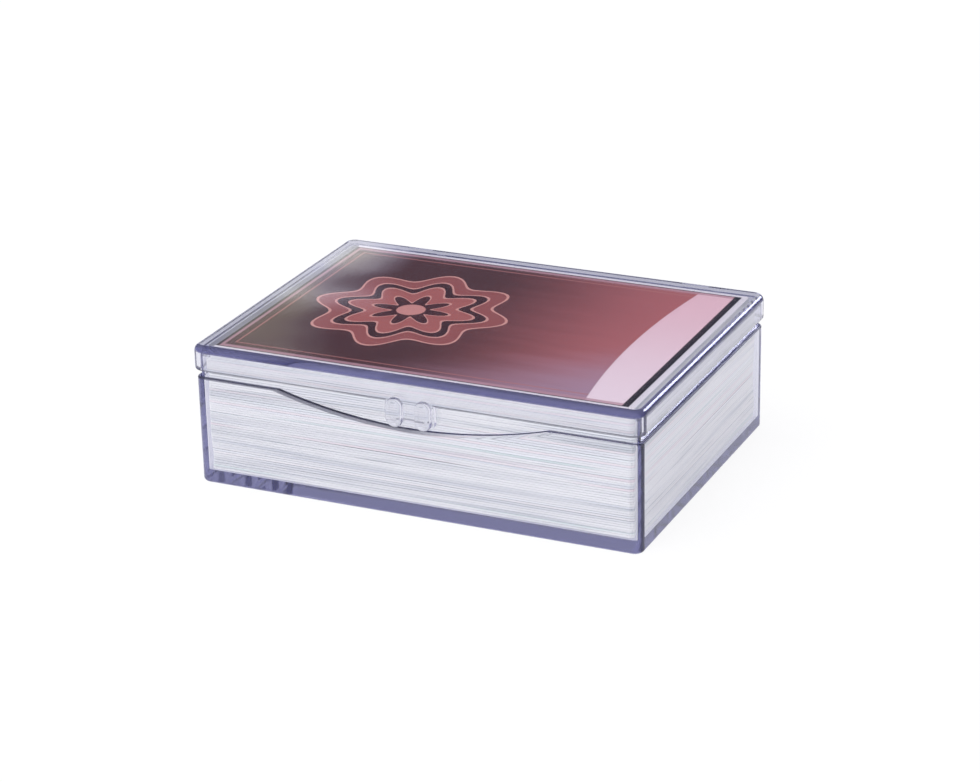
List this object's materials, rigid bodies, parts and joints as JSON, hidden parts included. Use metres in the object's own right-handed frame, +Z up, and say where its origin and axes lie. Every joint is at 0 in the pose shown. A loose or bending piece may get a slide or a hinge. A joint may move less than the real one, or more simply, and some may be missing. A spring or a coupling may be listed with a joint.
{
  "type": "card storage box",
  "caption": "Clear moulded box with a flat hinged lid, a front latch tab over a thumb recess and hinge knuckles at the back, filled with a stack of trading cards.",
  "frame": {"origin": "middle of the tub's flat underside", "axes": "+X along the long side, to the right as seen from the latch; +Y from the latch to the hinge; +Z up"},
  "size_m": [0.094, 0.0743, 0.0289],
  "materials": {
    "clear_plastic": "clear moulded polystyrene, polished",
    "card_stock": "white card, cut edges with a trace of print",
    "card_print": "glossy printed face over white card"
  },
  "bodies": {
    "base": {"base_tub": "clear_plastic", "card_01": "card_stock", "card_02": "card_stock", "card_03": "card_stock", "card_04": "card_stock", "card_05": "card_stock", "card_06": "card_stock", "card_07": "card_stock", "card_08": "card_stock", "card_09": "card_stock", "card_10": "card_stock", "card_11": "card_stock", "card_12": "card_stock", "card_13": "card_stock", "card_14": "card_stock", "card_15": "card_stock", "card_16": "card_stock", "card_17": "card_stock", "card_18": "card_stock", "card_19": "card_stock", "card_20": "card_stock", "card_21": "card_stock", "card_22": "card_stock", "card_23": "card_stock", "card_24": "card_stock", "card_25": "card_stock", "card_26": "card_stock", "card_27": "card_stock", "card_28": "card_stock", "card_29": "card_stock", "card_30": "card_stock", "card_31": "card_stock", "card_32": "card_stock", "card_33": "card_stock", "card_34": "card_stock", "card_35": "card_stock", "card_36": "card_stock", "card_37": "card_stock", "card_38": "card_stock", "card_39": "card_stock", "card_40": "card_stock", "card_41": "card_stock", "card_42": "card_stock", "card_43": "card_stock", "card_44": "card_stock", "card_45": "card_stock", "card_46": "card_stock", "card_47": "card_stock", "card_48": "card_stock", "card_49": "card_stock", "card_50": "card_print"},
    "lid": {"hinged_lid": "clear_plastic"}
  },
  "joints": [
    {"name": "lid_hinge", "type": "hinge", "parent": "base", "child": "lid", "pos_m": [0, 0.03645, 0.02255], "axis": [-1, 0, 0], "range_deg": [0, 115]}
  ]
}
